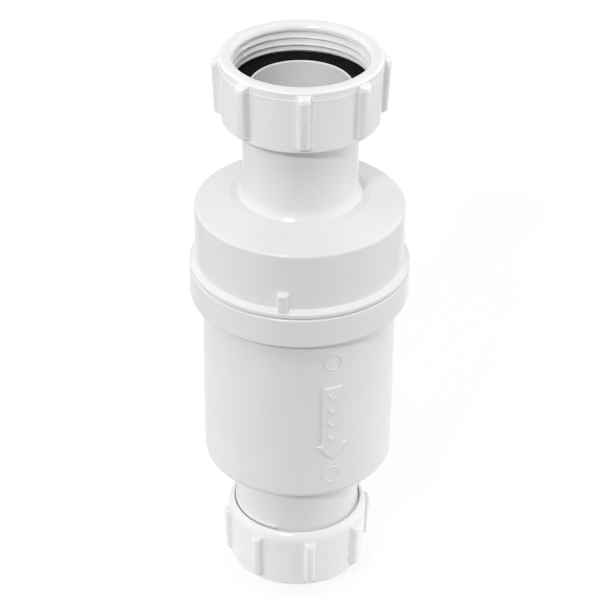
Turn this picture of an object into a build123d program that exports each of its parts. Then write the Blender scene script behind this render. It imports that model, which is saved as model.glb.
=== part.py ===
from build123d import *
import os
from math import sqrt

# Diaphragm non-return valve for a 32 mm waste pipe, in millimetres.
# It stands on its outlet nut: z = 0 is that nut's lower face and +Z runs up to the inlet.
# An azimuth of 0 faces -Y, the front, and a positive one is towards +X.

# Clearances
seat_gap = 0.3          # between pieces that turn or slide on each other
running_gap = 0.05      # radial, round the guide stem
joint_gap = 0.05        # radial, between fixed pieces that fit in one another

# Outlet: socket for a 34.6 mm pipe, and the neck round it
pipe_socket_r = 17.55
pipe_socket_depth = 21.3
pipe_stop = 2.05                # width of the step that the pipe meets
mouth_bevel = 2.7               # height of the bevel that the seal is pressed into
mouth_edge = 0.35               # flat left on the mouth outside the bevel
outlet_neck_wall = 1.9
outlet_neck_length = 34.2
outlet_thread_gap = 0.75        # room for the thread between neck and nut

# Outlet nut
outlet_nut_height = 20.3
outlet_nut_wall = 2.0           # outside its bore, below the band
outlet_nut_band_step = 0.2
outlet_nut_draft = 0.4          # how far the foot lies inside the wall below the band
outlet_nut_band = 4.3           # height of the wider band below the rim
outlet_nut_rim_round = 1.7
outlet_nut_lip = 2.2
outlet_nut_lip_gap = 0.25       # radial, round the pipe socket's size
outlet_rib_stand = 1.8          # how far a grip stands out from the wall
outlet_rib_draft = 0.3
outlet_rib_width = 3.3
outlet_rib_low = 1.9            # height of the rib's outer lower corner above the nut's foot
outlet_rib_drop = 2.4           # from the nut's rim down to the top of the rib
outlet_rib_azimuth = 11.0

# Inlet nut
inlet_thread_r = 20.3           # mean radius of the thread, where the bore's wall lies
inlet_nut_height = 19.6
inlet_nut_wall = 3.35           # outside its bore, below the band
inlet_nut_band_step = 0.25
inlet_nut_draft = 0.4
inlet_nut_band = 2.5
inlet_nut_rim_round = 0.6
inlet_nut_lip = 3.9
inlet_rib_stand = 2.25
inlet_rib_draft = 0.4
inlet_rib_width = 3.7
inlet_rib_low = 1.8
inlet_rib_drop = 1.1
inlet_rib_azimuth = 2.2

# Both nuts
nut_rib_count = 8
rib_root = 0.8                  # how far a rib is rooted in the wall
rib_slope = 1.0                 # height lost from the wall to the rib's outer face
rib_round = 0.6
nut_foot_round = 0.7
bore_chamfer = 0.4

# Compression seal and slip ring
slip_ring_thickness = 1.0
slip_ring_inset = 0.15          # how far the ring's bore lies outside the seal's
seal_inset = 0.1                # how far the seal's bore lies inside the socket's wall
seal_flange = 2.7
seal_nose = 1.4                 # how far the taper reaches into the mouth
seal_tip_wall = 0.85
seal_side_gap = 0.4             # to the nut's bore

# Body
body_r = 29.45
body_wall = 2.0
body_floor = 2.4
body_length = 58.9              # from its underside to the collar
body_round = 2.6
inner_round = 1.2
neck_root_round = 0.8
collar_step = 3.85              # how far the collar stands out from the body
collar_wall = 2.4
collar_height = 9.4
collar_bore_depth = 7.2
collar_edge = 0.35

# Flow arrow and witness rings on the body
mark_azimuth = 21.8
mark_raise = 0.45
arrow_shaft_width = 6.2
arrow_shaft_length = 21.8
arrow_head_width = 11.3
arrow_head_length = 5.4
arrow_tip_up = 15.5             # from the body's underside to the arrow's point
ring_mark_r = 2.9
ring_mark_width = 0.55
ring_mark_raise = 0.25
ring_mark_heights = (9.7, 51.9) # above the body's underside

# Cap
rim_gap = 0.45                  # open line between the collar and the cap's flange
flange_step = 1.8               # how far the flange stands out from the cap's wall
flange_wall = 1.55
flange_bevel = 1.0
cap_wall = 2.4
cap_wall_height = 17.9
cap_edge_round = 1.2
shoulder_rise = 4.6
shoulder_thickness = 2.6
skirt_wall = 2.7
inlet_bore_r = 14.3
inlet_neck_wall = 2.8
inlet_neck_root_round = 4.3
inlet_neck_length = 28.7
seat_wall = 2.2
swivel_flange_gap = 0.8         # radial, to the pocket of the nut that turns on it
swivel_flange = 3.4
washer_lip_wall = 0.85
washer_lip_height = 2.7
tab_azimuth = -8.3
tab_width = 3.4
tab_height = 7.6                # above the top of the flange's wall
tab_inset = 0.15                # how far the tab lies inside the flange's edge
tab_round = 0.8

# Washer and casing seal
washer_thickness = 3.0
washer_reach = 0.2              # how far the washer reaches past the thread's mean radius
casing_seal_section = 1.7
groove_side_gap = 0.1           # above and below the seal
groove_land = 0.7               # below the groove

# Diaphragm
bead_thickness = 2.2
bead_width = 2.9
bead_ring_thickness = 0.7
web_thickness = 1.1
face_overlap = 1.7              # how far the face reaches past the seat tube
disc_face_thickness = 2.4
seat_above_ledge = 10.5
slot_count = 6
slot_margin = 2.3               # web left inside and outside the windows
slot_angle = 38.0

# Closing disc
plate_inset = 2.0               # how far the plate's edge lies inside the face's
plate_thickness = 2.4
plate_rib_count = 6
plate_rib_width = 1.2
plate_rib_height = 1.2
plate_rib_inset = 1.6
nose_water_gap = 2.1            # radial, round the nose in the inlet bore
nose_rim = 1.4
nose_height = 6.5
stem_r = 2.5
stem_in_nose = 4.0
stem_tail = 2.2                 # stem left below its clip
clip_width = 2.4
clip_thickness = 0.8
clip_groove = 0.6
clip_mouth = 3.0
clip_gap = 0.4                  # clip to bush with the valve shut

# Guide cage and spring
cage_flange = 1.4
cage_flange_reach = 1.05        # how far the flange reaches in past the body's wall
cage_rib_count = 6
cage_rib_width = 1.8
cage_rib_end = 6.0              # height of a rib where it meets the flange
hub_height = 7.0
hub_top_drop = 8.5              # from the collar's ledge down to the spring's seat
boss_wall = 0.9                 # of the boss that centres the spring
boss_height = 2.5
bush_wall = 1.35
bush_flange = 0.8
bush_flange_step = 1.5
spring_wire = 0.9
spring_side_gap = 0.5           # between the spring and its boss
spring_turns = 5
spring_seat_land = 2.2          # of the hub outside the spring

# Heights worked out from the sizes above
slip_ring_z = outlet_nut_lip
seal_z = slip_ring_z + slip_ring_thickness
mouth_z = seal_z + seal_flange + seat_gap
body_z = mouth_z + outlet_neck_length
collar_z = body_z + body_length
rim_z = collar_z + collar_height
ledge_z = rim_z - collar_bore_depth
bead_z = ledge_z + cage_flange
bead_ring_z = bead_z + bead_thickness
skirt_z = bead_ring_z + bead_ring_thickness
flange_z = rim_z + rim_gap
flange_edge_z = flange_z + flange_wall
cap_wall_z = flange_edge_z + flange_bevel
shoulder_z = cap_wall_z + cap_wall_height
shoulder_top_z = shoulder_z + shoulder_rise
swivel_z = shoulder_top_z + inlet_neck_length
washer_z = swivel_z + swivel_flange
inlet_nut_z = swivel_z - seat_gap - inlet_nut_lip
seat_z = ledge_z + seat_above_ledge
disc_face_z = seat_z - disc_face_thickness
plate_z = disc_face_z - plate_thickness
hub_top_z = ledge_z - hub_top_drop
hub_z = hub_top_z - hub_height
clip_z = hub_z - bush_flange - clip_gap - clip_thickness
stem_z = clip_z - stem_tail

# Radii worked out from the sizes above
outlet_neck_r = pipe_socket_r + outlet_neck_wall
outlet_bore_r = pipe_socket_r - pipe_stop
outlet_nut_bore_r = outlet_neck_r + outlet_thread_gap
outlet_nut_wall_r = outlet_nut_bore_r + outlet_nut_wall
outlet_nut_rim_r = outlet_nut_wall_r + outlet_nut_band_step
outlet_nut_foot_r = outlet_nut_wall_r - outlet_nut_draft
outlet_nut_lip_r = pipe_socket_r + outlet_nut_lip_gap
seal_bore_r = pipe_socket_r - seal_inset
seal_r = outlet_nut_bore_r - seal_side_gap
inlet_nut_wall_r = inlet_thread_r + inlet_nut_wall
inlet_nut_rim_r = inlet_nut_wall_r + inlet_nut_band_step
inlet_nut_foot_r = inlet_nut_wall_r - inlet_nut_draft
washer_r = inlet_thread_r + washer_reach
washer_pocket_r = washer_r + seat_gap
inlet_neck_r = inlet_bore_r + inlet_neck_wall
swivel_flange_r = washer_pocket_r - swivel_flange_gap
washer_lip_r = inlet_bore_r + washer_lip_wall
body_in_r = body_r - body_wall
collar_r = body_r + collar_step
collar_bore_r = collar_r - collar_wall
cap_r = collar_r - flange_step
cap_in_r = cap_r - cap_wall
skirt_r = collar_bore_r - seat_gap
skirt_in_r = skirt_r - skirt_wall
seat_out_r = inlet_bore_r + seat_wall
bead_in_r = skirt_r - bead_width
disc_face_r = seat_out_r + face_overlap
slot_in_r = disc_face_r + slot_margin
slot_out_r = bead_in_r - slot_margin
plate_r = disc_face_r - plate_inset
nose_r = inlet_bore_r - nose_water_gap
bush_bore_r = stem_r + running_gap
bush_r = bush_bore_r + bush_wall
bush_flange_r = bush_r + bush_flange_step
boss_r = bush_r + boss_wall
spring_r = boss_r + spring_side_gap + spring_wire / 2
hub_r = spring_r + spring_wire / 2 + spring_seat_land
clip_seat_r = stem_r - clip_groove
clip_r = clip_seat_r + clip_width
groove_r = collar_bore_r - casing_seal_section - joint_gap * 2
groove_z = skirt_z + groove_land
groove_top_z = groove_z + casing_seal_section + groove_side_gap * 2


def turned(outline, rounds=()):
    # Turn an outline of (radius, height) points; each round is (radius, height, corner radius).
    face = make_face(Polyline(*outline, close=True))
    for radius, height, corner in rounds:
        vertex = face.vertices().sort_by_distance((radius, height, 0))[0]
        face = fillet(vertex, radius=corner)
    return revolve(Plane.XZ * face, Axis.Z)


def ring(inner, outer, low, high):
    # A plain turned ring.
    return turned([(inner, low), (outer, low), (outer, high), (inner, high)])


def around(shape, count, first_azimuth=0.0):
    # Copies of a shape that is built on the +X side, the first one at an azimuth from the front.
    return [Rot(0, 0, first_azimuth - 90 + turn * 360 / count) * shape for turn in range(count)]


def at_azimuth(shape, azimuth):
    # Turn a shape that is built on the -Y side.
    return Rot(0, 0, azimuth) * shape


def radial_plate(outline, width):
    # A plate of the given width in the plane of the axis and +X, from (radius, height) points.
    return extrude(Plane.XZ * make_face(Polyline(*outline, close=True)), amount=width / 2, both=True)


def grip_rib(wall_r, stand, draft, low, high, width):
    # One upright grip on a nut: sloped at its top and bottom, with rounded long edges.
    root = wall_r - rib_root
    top_out_r = wall_r + stand
    foot_out_r = top_out_r - draft
    outline = [(root, low - rib_slope), (foot_out_r, low), (top_out_r, high - rib_slope), (root, high)]
    rib = radial_plate(outline, width)
    outer_edges = rib.edges().filter_by(lambda edge: edge.center().X > foot_out_r - rib_round
                                        and abs(edge.center().Y) > width / 4
                                        and edge.length > rib_slope * 3)
    return fillet(outer_edges, radius=rib_round)


def make_outlet_nut():
    top = outlet_nut_height
    band_z = top - outlet_nut_band
    outline = [(outlet_nut_lip_r, 0), (outlet_nut_foot_r, 0), (outlet_nut_wall_r, band_z),
               (outlet_nut_rim_r, band_z), (outlet_nut_rim_r, top),
               (outlet_nut_bore_r + bore_chamfer, top), (outlet_nut_bore_r, top - bore_chamfer),
               (outlet_nut_bore_r, outlet_nut_lip), (outlet_nut_lip_r, outlet_nut_lip)]
    nut = turned(outline, [(outlet_nut_foot_r, 0, nut_foot_round),
                           (outlet_nut_rim_r, top, outlet_nut_rim_round)])
    rib = grip_rib(outlet_nut_wall_r, outlet_rib_stand, outlet_rib_draft, outlet_rib_low,
                   top - outlet_rib_drop, outlet_rib_width)
    return nut + around(rib, nut_rib_count, outlet_rib_azimuth)


def make_inlet_nut():
    foot = inlet_nut_z
    top = foot + inlet_nut_height
    band_z = top - inlet_nut_band
    lip_top = foot + inlet_nut_lip
    lip_r = inlet_neck_r + seat_gap
    pocket_top = washer_z + washer_thickness + seat_gap
    outline = [(lip_r, foot), (inlet_nut_foot_r, foot), (inlet_nut_wall_r, band_z),
               (inlet_nut_rim_r, band_z), (inlet_nut_rim_r, top),
               (inlet_thread_r + bore_chamfer, top), (inlet_thread_r, top - bore_chamfer),
               (inlet_thread_r, pocket_top), (washer_pocket_r, pocket_top),
               (washer_pocket_r, lip_top), (lip_r, lip_top)]
    nut = turned(outline, [(inlet_nut_foot_r, foot, nut_foot_round),
                           (inlet_nut_rim_r, top, inlet_nut_rim_round)])
    rib = grip_rib(inlet_nut_wall_r, inlet_rib_stand, inlet_rib_draft, foot + inlet_rib_low,
                   top - inlet_rib_drop, inlet_rib_width)
    return nut + around(rib, nut_rib_count, inlet_rib_azimuth)


def make_slip_ring():
    return ring(seal_bore_r + slip_ring_inset, seal_r, slip_ring_z, seal_z)


def make_outlet_seal():
    flange_top = seal_z + seal_flange
    tip_z = flange_top + seal_nose
    mouth_bevel_r = outlet_neck_r - mouth_edge
    outline = [(seal_bore_r, seal_z), (seal_r, seal_z), (seal_r, flange_top),
               (mouth_bevel_r - seat_gap, flange_top),
               (seal_bore_r + seal_tip_wall, tip_z - seat_gap),
               (seal_bore_r + seal_tip_wall - seat_gap, tip_z), (seal_bore_r, tip_z)]
    return turned(outline)


def raised_mark(face, height):
    # Wrap a flat shape, drawn on the XZ plane, onto the body's wall as a raised pad.
    pad = extrude(Plane.XZ * face, amount=body_r + height * 2)
    return pad & ring(body_r - body_wall / 2, body_r + height, body_z, collar_z)


def make_flow_arrow():
    tip = body_z + arrow_tip_up
    neck = tip + arrow_head_length
    tail = neck + arrow_shaft_length
    half_head = arrow_head_width / 2
    half_shaft = arrow_shaft_width / 2
    outline = Polyline((0, tip), (half_head, neck), (half_shaft, neck), (half_shaft, tail),
                       (-half_shaft, tail), (-half_shaft, neck), (-half_head, neck), close=True)
    return raised_mark(make_face(outline), mark_raise)


def make_ring_mark(height):
    hoop = Circle(ring_mark_r) - Circle(ring_mark_r - ring_mark_width)
    return raised_mark(Pos(0, body_z + height) * hoop, ring_mark_raise)


def make_valve_body():
    socket_top = mouth_z + pipe_socket_depth
    floor_z = body_z + body_floor
    outline = [(outlet_neck_r, mouth_z), (outlet_neck_r, body_z), (body_r, body_z),
               (body_r, collar_z), (collar_r, collar_z), (collar_r, rim_z),
               (collar_bore_r, rim_z), (collar_bore_r, ledge_z), (body_in_r, ledge_z),
               (body_in_r, floor_z), (outlet_bore_r, floor_z), (outlet_bore_r, socket_top),
               (pipe_socket_r, socket_top), (pipe_socket_r, mouth_z + mouth_bevel),
               (outlet_neck_r - mouth_edge, mouth_z)]
    body = turned(outline, [(outlet_neck_r, body_z, neck_root_round), (body_r, body_z, body_round),
                            (body_in_r, floor_z, inner_round), (collar_r, rim_z, collar_edge),
                            (collar_r, collar_z, collar_edge)])
    marks = [make_flow_arrow()] + [make_ring_mark(height) for height in ring_mark_heights]
    return body + [at_azimuth(mark, mark_azimuth) for mark in marks]


def make_index_tab():
    low = flange_z + flange_wall / 2
    high = flange_edge_z + tab_height
    root = cap_r - cap_wall / 2
    outline = [(root, low), (collar_r - tab_inset, low), (collar_r - tab_inset, high), (root, high)]
    tab = radial_plate(outline, tab_width)
    upper = tab.edges().filter_by(lambda edge: edge.center().Z > (low + high) / 2
                                  and edge.center().X > root + tab_round)
    return fillet(upper, radius=tab_round)


def make_inlet_cap():
    under_shoulder = shoulder_z - shoulder_thickness
    slope = shoulder_rise / (cap_r - inlet_neck_r)
    seat_root_z = under_shoulder + slope * (cap_in_r - seat_out_r)
    outline = [(inlet_bore_r, seat_z), (inlet_bore_r, washer_z + washer_lip_height),
               (washer_lip_r, washer_z + washer_lip_height), (washer_lip_r, washer_z),
               (swivel_flange_r, washer_z), (swivel_flange_r, swivel_z), (inlet_neck_r, swivel_z),
               (inlet_neck_r, shoulder_top_z), (cap_r, shoulder_z), (cap_r, cap_wall_z),
               (collar_r, flange_edge_z), (collar_r, flange_z), (skirt_r, flange_z),
               (skirt_r, groove_top_z), (groove_r, groove_top_z), (groove_r, groove_z),
               (skirt_r, groove_z), (skirt_r, skirt_z),
               (skirt_in_r, skirt_z), (skirt_in_r, flange_edge_z), (cap_in_r, cap_wall_z),
               (cap_in_r, under_shoulder), (seat_out_r, seat_root_z), (seat_out_r, seat_z)]
    cap = turned(outline, [(inlet_neck_r, shoulder_top_z, inlet_neck_root_round),
                           (cap_r, shoulder_z, cap_edge_round),
                           (collar_r, flange_edge_z, collar_edge),
                           (cap_in_r, under_shoulder, inner_round),
                           (seat_out_r, seat_root_z, inner_round)])
    return cap + at_azimuth(Rot(0, 0, -90) * make_index_tab(), tab_azimuth)


def make_inlet_washer():
    return ring(washer_lip_r + joint_gap, washer_r, washer_z, washer_z + washer_thickness)


def make_casing_seal():
    # An O-ring in the groove of the cap's skirt.
    middle_r = (groove_r + collar_bore_r) / 2
    middle_z = (groove_z + groove_top_z) / 2
    section = Plane.XZ * (Pos(middle_r, middle_z) * Circle(casing_seal_section / 2))
    return revolve(section, Axis.Z)


def make_bead_ring():
    return ring(skirt_in_r, skirt_r, bead_ring_z, skirt_z)


def make_diaphragm():
    # A clamped bead, a conical web with windows for the water, and a thick face for the seat.
    web_foot = bead_z + (bead_thickness - web_thickness) / 2
    web_top = disc_face_z + (disc_face_thickness - web_thickness) / 2
    outline = [(bush_bore_r, disc_face_z), (disc_face_r, disc_face_z), (disc_face_r, web_top),
               (bead_in_r, web_foot), (bead_in_r, bead_z), (skirt_r, bead_z),
               (skirt_r, bead_z + bead_thickness), (bead_in_r, bead_z + bead_thickness),
               (bead_in_r, web_foot + web_thickness), (disc_face_r, web_top + web_thickness),
               (disc_face_r, seat_z), (bush_bore_r, seat_z)]
    rubber = turned(outline, [(disc_face_r, web_top + web_thickness, web_thickness / 2)])
    sector = Polyline((0, 0), (skirt_r * 2, -skirt_r * 2 * slot_half_slope()),
                      (skirt_r * 2, skirt_r * 2 * slot_half_slope()), close=True)
    window = (Circle(slot_out_r) - Circle(slot_in_r)) & make_face(sector)
    window = fillet(window.vertices(), radius=min(web_thickness, (slot_out_r - slot_in_r) / 3))
    cutter = Pos(0, 0, bead_z) * extrude(window, amount=seat_z - bead_z)
    return rubber - around(cutter, slot_count)


def slot_half_slope():
    # Height over length of a line at half the window's angle.
    corner = Vector(1, 0, 0).rotate(Axis.Z, slot_angle / 2)
    return corner.Y / corner.X


def make_backing_plate():
    plate = ring(bush_bore_r, plate_r, plate_z, disc_face_z)
    boss = ring(bush_bore_r, boss_r, plate_z - boss_height, plate_z)
    spring_out_r = spring_r + spring_wire
    rib_end_r = plate_r - plate_rib_inset
    rib = radial_plate([(spring_out_r, plate_z - plate_rib_height), (rib_end_r, plate_z),
                        (rib_end_r, plate_z + plate_thickness / 2),
                        (spring_out_r, plate_z + plate_thickness / 2)], plate_rib_width)
    return plate + boss + around(rib, plate_rib_count)


def make_disc_nose():
    # A dome that spreads the water and holds the diaphragm on its plate.
    rim_top = seat_z + nose_rim
    crown = seat_z + nose_height
    outline = (Polyline((0, crown), (0, seat_z), (nose_r, seat_z), (nose_r, rim_top))
               + ThreePointArc((nose_r, rim_top), nose_middle(rim_top, crown), (0, crown)))
    dome = revolve(Plane.XZ * make_face(outline), Axis.Z)
    socket = Pos(0, 0, seat_z) * Cylinder(bush_bore_r, stem_in_nose + joint_gap,
                                          align=(Align.CENTER, Align.CENTER, Align.MIN))
    return dome - socket


def nose_middle(rim_top, crown):
    # The point halfway along the dome's arc, which is level at the crown.
    rise = crown - rim_top
    dome_r = (nose_r ** 2 + rise ** 2) / (2 * rise)
    middle_r = nose_r / 2
    return (middle_r, crown - dome_r + sqrt(dome_r ** 2 - middle_r ** 2))


def make_guide_stem():
    clip_top = clip_z + clip_thickness
    top = seat_z + stem_in_nose
    return turned([(0, stem_z), (stem_r, stem_z), (stem_r, clip_z), (clip_seat_r, clip_z),
                   (clip_seat_r, clip_top), (stem_r, clip_top), (stem_r, top), (0, top)])


def make_stem_clip():
    # An open ring that snaps into the stem's groove from one side.
    disc = Circle(clip_r) - Circle(clip_seat_r + joint_gap)
    mouth = Pos(clip_r, 0) * Rectangle(clip_r * 2, clip_mouth)
    return Pos(0, 0, clip_z) * extrude(disc - mouth, amount=clip_thickness)


def make_guide_bush():
    low = hub_z - bush_flange
    top = hub_top_z + boss_height
    return turned([(bush_bore_r, low), (bush_flange_r, low), (bush_flange_r, hub_z),
                   (bush_r, hub_z), (bush_r, top), (bush_bore_r, top)])


def make_guide_cage():
    # A flange on the body's ledge, a hub for the bush, and ribs with open water between them.
    hub_bore_r = bush_r + joint_gap
    rib_end_r = body_in_r - seat_gap
    flange = ring(body_in_r - cage_flange_reach, skirt_r, ledge_z, bead_z)
    hub = turned([(hub_bore_r, hub_z), (hub_r, hub_z), (hub_r, hub_top_z), (boss_r, hub_top_z),
                  (boss_r, hub_top_z + boss_height), (hub_bore_r, hub_top_z + boss_height)])
    rib_root_r = (hub_bore_r + hub_r) / 2
    rib = radial_plate([(rib_root_r, hub_z), (rib_root_r, hub_top_z), (hub_r, hub_top_z),
                        (rib_end_r, bead_z), (rib_end_r, bead_z - cage_rib_end)], cage_rib_width)
    return hub + around(rib, cage_rib_count, 180 / cage_rib_count) + flange


def make_return_spring():
    # A round-wire coil from the hub's seat to the plate; its ends lie on both.
    wire_r = spring_wire / 2
    low = hub_top_z + wire_r + joint_gap
    height = plate_z - wire_r - joint_gap - low
    path = Pos(0, 0, low) * Helix(pitch=height / spring_turns, height=height, radius=spring_r)
    start = Plane(origin=path @ 0, z_dir=path % 0)
    return sweep(start * Circle(wire_r), path=path)


def main():
    os.makedirs("parts", exist_ok=True)
    pieces = {
        "inlet_cap": make_inlet_cap(),
        "valve_body": make_valve_body(),
        "casing_seal": make_casing_seal(),
        "bead_ring": make_bead_ring(),
        "diaphragm": make_diaphragm(),
        "guide_cage": make_guide_cage(),
        "guide_bush": make_guide_bush(),
        "return_spring": make_return_spring(),
        "backing_plate": make_backing_plate(),
        "disc_nose": make_disc_nose(),
        "guide_stem": make_guide_stem(),
        "stem_clip": make_stem_clip(),
        "inlet_washer": make_inlet_washer(),
        "inlet_nut": make_inlet_nut(),
        "slip_ring": make_slip_ring(),
        "outlet_seal": make_outlet_seal(),
        "outlet_nut": make_outlet_nut(),
    }
    for node, shape in pieces.items():
        export_step(shape, "parts/" + node + ".step")


main()
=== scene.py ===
from math import acos, atan2, ceil, cos, degrees, pi, radians, sin, tan

import bmesh
import bpy
import numpy as np
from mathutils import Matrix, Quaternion, Vector


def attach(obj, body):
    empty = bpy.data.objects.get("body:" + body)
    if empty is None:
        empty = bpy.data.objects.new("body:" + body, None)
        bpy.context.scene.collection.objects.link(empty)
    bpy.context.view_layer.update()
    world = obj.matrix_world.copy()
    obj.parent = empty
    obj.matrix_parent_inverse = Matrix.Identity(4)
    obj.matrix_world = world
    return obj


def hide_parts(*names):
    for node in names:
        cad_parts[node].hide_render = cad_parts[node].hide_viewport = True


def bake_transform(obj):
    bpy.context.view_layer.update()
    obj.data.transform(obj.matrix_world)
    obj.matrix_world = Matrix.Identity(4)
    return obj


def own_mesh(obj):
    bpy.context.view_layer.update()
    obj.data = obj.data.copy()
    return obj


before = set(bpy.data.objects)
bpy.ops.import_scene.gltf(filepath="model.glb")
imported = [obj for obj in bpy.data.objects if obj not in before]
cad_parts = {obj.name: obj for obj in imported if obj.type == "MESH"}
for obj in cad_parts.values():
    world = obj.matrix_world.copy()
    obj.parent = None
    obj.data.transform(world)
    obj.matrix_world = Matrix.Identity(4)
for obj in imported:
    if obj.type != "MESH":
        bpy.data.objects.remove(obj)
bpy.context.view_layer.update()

mm = 0.001  # outlines are written in millimetres, Blender works in metres
threadPitch = 2.309  # 11 turns per inch, as on 1 1/4 inch pipe threads
plainAngles = np.linspace(0, 2 * pi, 224, endpoint=False)  # azimuths of a turned piece without grips
print("frame loaded with", len(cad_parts), "nodes")


# Outlines and shapes. A shape is its points in millimetres and its faces.

def rounded(corners, closed=True):
    # A corner is (x, y) or (x, y, radius). An arc gets a support point on each side, which keeps flats flat.
    points = []
    for index, (x, y, *radius) in enumerate(corners):
        here = Vector((x, y))
        isEnd = not closed and index in (0, len(corners) - 1)
        if isEnd or not radius:
            points.append(here)
            continue
        before = Vector(corners[index - 1][:2]) - here
        after = Vector(corners[(index + 1) % len(corners)][:2]) - here
        half = before.angle(after) / 2
        room = min(before.length, after.length) * 0.45  # so that two arcs fit on one side
        size = min(radius[0], room * tan(half))
        reach = size / tan(half)
        support = min(size * 0.35, room * 0.08)
        before.normalize()
        after.normalize()
        middle = here + (before + after).normalized() * size / sin(half)
        first, last = here + before * reach - middle, here + after * reach - middle
        sweep = pi - 2 * half
        steps = max(2, ceil(degrees(sweep) / (20 if size < 1 else 11)))  # degrees a step, finer when large
        points.append(here + before * (reach + support))
        for step in range(steps + 1):
            part = step / steps * sweep
            points.append(middle + (first * sin(sweep - part) + last * sin(part)) / sin(sweep))
        points.append(here + after * (reach + support))
    return [tuple(point) for point in points]


def arc(middle, size, start, end, count, flatness=1):
    # Points on an arc, or on part of an ellipse where size is a pair. Angles are in degrees. A flatness
    # over 1 pulls the arc towards its chord.
    across, upward = size if isinstance(size, tuple) else (size, size)
    bent = lambda share: abs(share) ** flatness * (1 if share > 0 else -1)
    return [(middle[0] + across * bent(cos(turn)), middle[1] + upward * bent(sin(turn)))
            for turn in np.linspace(radians(start), radians(end), count)]


def stations(radius, start, end, step):
    # Points up or down a straight wall, close enough together to carry a thread.
    count = max(2, round(abs(end - start) / step) + 1)
    return [(radius, height) for height in np.linspace(start, end, count)]


def onRadius(radius, wall):
    # Which points of an outline lie on the straight wall of this radius.
    return np.abs(radius - wall) < 0.02


def turned(outline, angles=plainAngles, radiusAt=None):
    # Azimuth 0 is the front (-Y), and grows towards +X. The outline runs anticlockwise.
    radius, height = np.array(outline).T
    angle = np.array(angles)[:, None]
    radius = radius[None] + angle * 0 if radiusAt is None else radiusAt(radius[None], height[None], angle)
    points = np.stack([radius * np.sin(angle), -radius * np.cos(angle), height[None] + angle * 0], -1)
    rows, columns = radius.shape
    row, column = np.meshgrid(np.arange(rows), np.arange(columns), indexing="ij")
    nextRow, nextColumn = (row + 1) % rows, (column + 1) % columns
    faces = np.stack([row * columns + column, nextRow * columns + column,
                      nextRow * columns + nextColumn, row * columns + nextColumn], -1)
    return points.reshape(-1, 3).tolist(), faces.reshape(-1, 4).tolist()


def slab(outline, low, high, bevel, place, everyEdge=False, facet=0):
    # A flat outline with thickness and bevelled edges; place moves each (u, v, h) point to its seat.
    # With a facet width it is cut into strips first, so that it can follow a round wall.
    form = bmesh.new()
    base = form.faces.new([form.verts.new((u, v, low)) for u, v in outline])
    grown = bmesh.ops.extrude_face_region(form, geom=[base])["geom"]
    for vert in grown:
        if isinstance(vert, bmesh.types.BMVert):
            vert.co.z = high
    bmesh.ops.recalc_face_normals(form, faces=form.faces)
    isTop = lambda edge: all(vert.co.z > high - 1e-6 for vert in edge.verts)
    bmesh.ops.bevel(form, geom=[edge for edge in form.edges if everyEdge or isTop(edge)],
                    offset=bevel, segments=3, profile=0.5, affect="EDGES", clamp_overlap=True)
    if facet:
        across = [vert.co.x for vert in form.verts]
        for cut in np.arange(min(across) + facet, max(across), facet):
            bmesh.ops.bisect_plane(form, geom=form.verts[:] + form.edges[:] + form.faces[:],
                                   plane_co=(cut, 0, 0), plane_no=(1, 0, 0))
    form.verts.index_update()
    faces = [[vert.index for vert in face.verts] for face in form.faces]
    points = [place(*vert.co) for vert in form.verts]
    form.free()
    return points, faces


def onAzimuth(azimuth):
    # Seats (radius, height, across) points in the upright plane at an azimuth in degrees.
    side, front = sin(radians(azimuth)), -cos(radians(azimuth))
    return lambda u, v, h: (u * side - h * front, u * front + h * side, v)


def onWall(azimuth, radius):
    # Wraps (across, height, stand) points round a cylinder.
    def place(u, v, h):
        angle = radians(azimuth) + u / radius
        return (radius + h) * sin(angle), -(radius + h) * cos(angle), v
    return place


def threadWave(height, angle, crestHeight, crestAzimuth, sharpness=0.93):
    # 1 on the crest of a right-hand thread and -1 in its groove. A sharpness of 1 gives pointed turns.
    turns = (height - crestHeight) / threadPitch - (angle - radians(crestAzimuth)) / (2 * pi)
    return np.arcsin(sharpness * np.cos(2 * pi * turns)) / np.arcsin(sharpness)


def meshOf(name, shapes):
    points, faces = [], []
    for shapePoints, shapeFaces in shapes:
        first = len(points)
        points += shapePoints
        faces += [[first + corner for corner in face] for face in shapeFaces]
    mesh = bpy.data.meshes.new(name)
    mesh.from_pydata((np.array(points) * mm).tolist(), [], faces)
    form = bmesh.new()
    form.from_mesh(mesh)
    bmesh.ops.remove_doubles(form, verts=form.verts, dist=1e-7)
    form.to_mesh(mesh)
    form.free()
    return mesh


def combined(mesh, operation, shapes):
    # Adds shapes to a mesh as one solid (UNION), or cuts them out of it (DIFFERENCE).
    first = bpy.data.objects.new("first", mesh)
    second = bpy.data.objects.new("second", meshOf("second", shapes))
    for holder in (first, second):
        bpy.context.scene.collection.objects.link(holder)
    change = first.modifiers.new("change", "BOOLEAN")
    change.operation, change.object, change.solver = operation, second, "EXACT"
    bpy.context.view_layer.update()
    result = bpy.data.meshes.new_from_object(first.evaluated_get(bpy.context.evaluated_depsgraph_get()))
    for holder in (first, second):
        bpy.data.objects.remove(holder)
    return result


def makePiece(name, shapes, material, body, nodes=(), changes=(), sharpAngle=35):
    mesh = meshOf(name, shapes)
    for operation, others in changes:
        mesh = combined(mesh, operation, others)
    mesh.name = name
    mesh.shade_smooth()
    mesh.set_sharp_from_angle(angle=radians(sharpAngle))
    mesh.materials.clear()
    mesh.materials.append(material)
    piece = bpy.data.objects.new(name, mesh)
    bpy.context.scene.collection.objects.link(piece)
    if body:
        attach(piece, body)
    if nodes:
        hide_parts(*nodes)
    return piece


# Materials. Colours are sRGB. Patch and grain are real sizes in millimetres, except where a note says that
# the real grain is too fine to show and is drawn coarser.

def fromHex(code):
    channels = [int(code[start:start + 2], 16) / 255 for start in (1, 3, 5)]
    linear = [c / 12.92 if c <= 0.04045 else ((c + 0.055) / 1.055) ** 2.4 for c in channels]
    return (*linear, 1)


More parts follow.
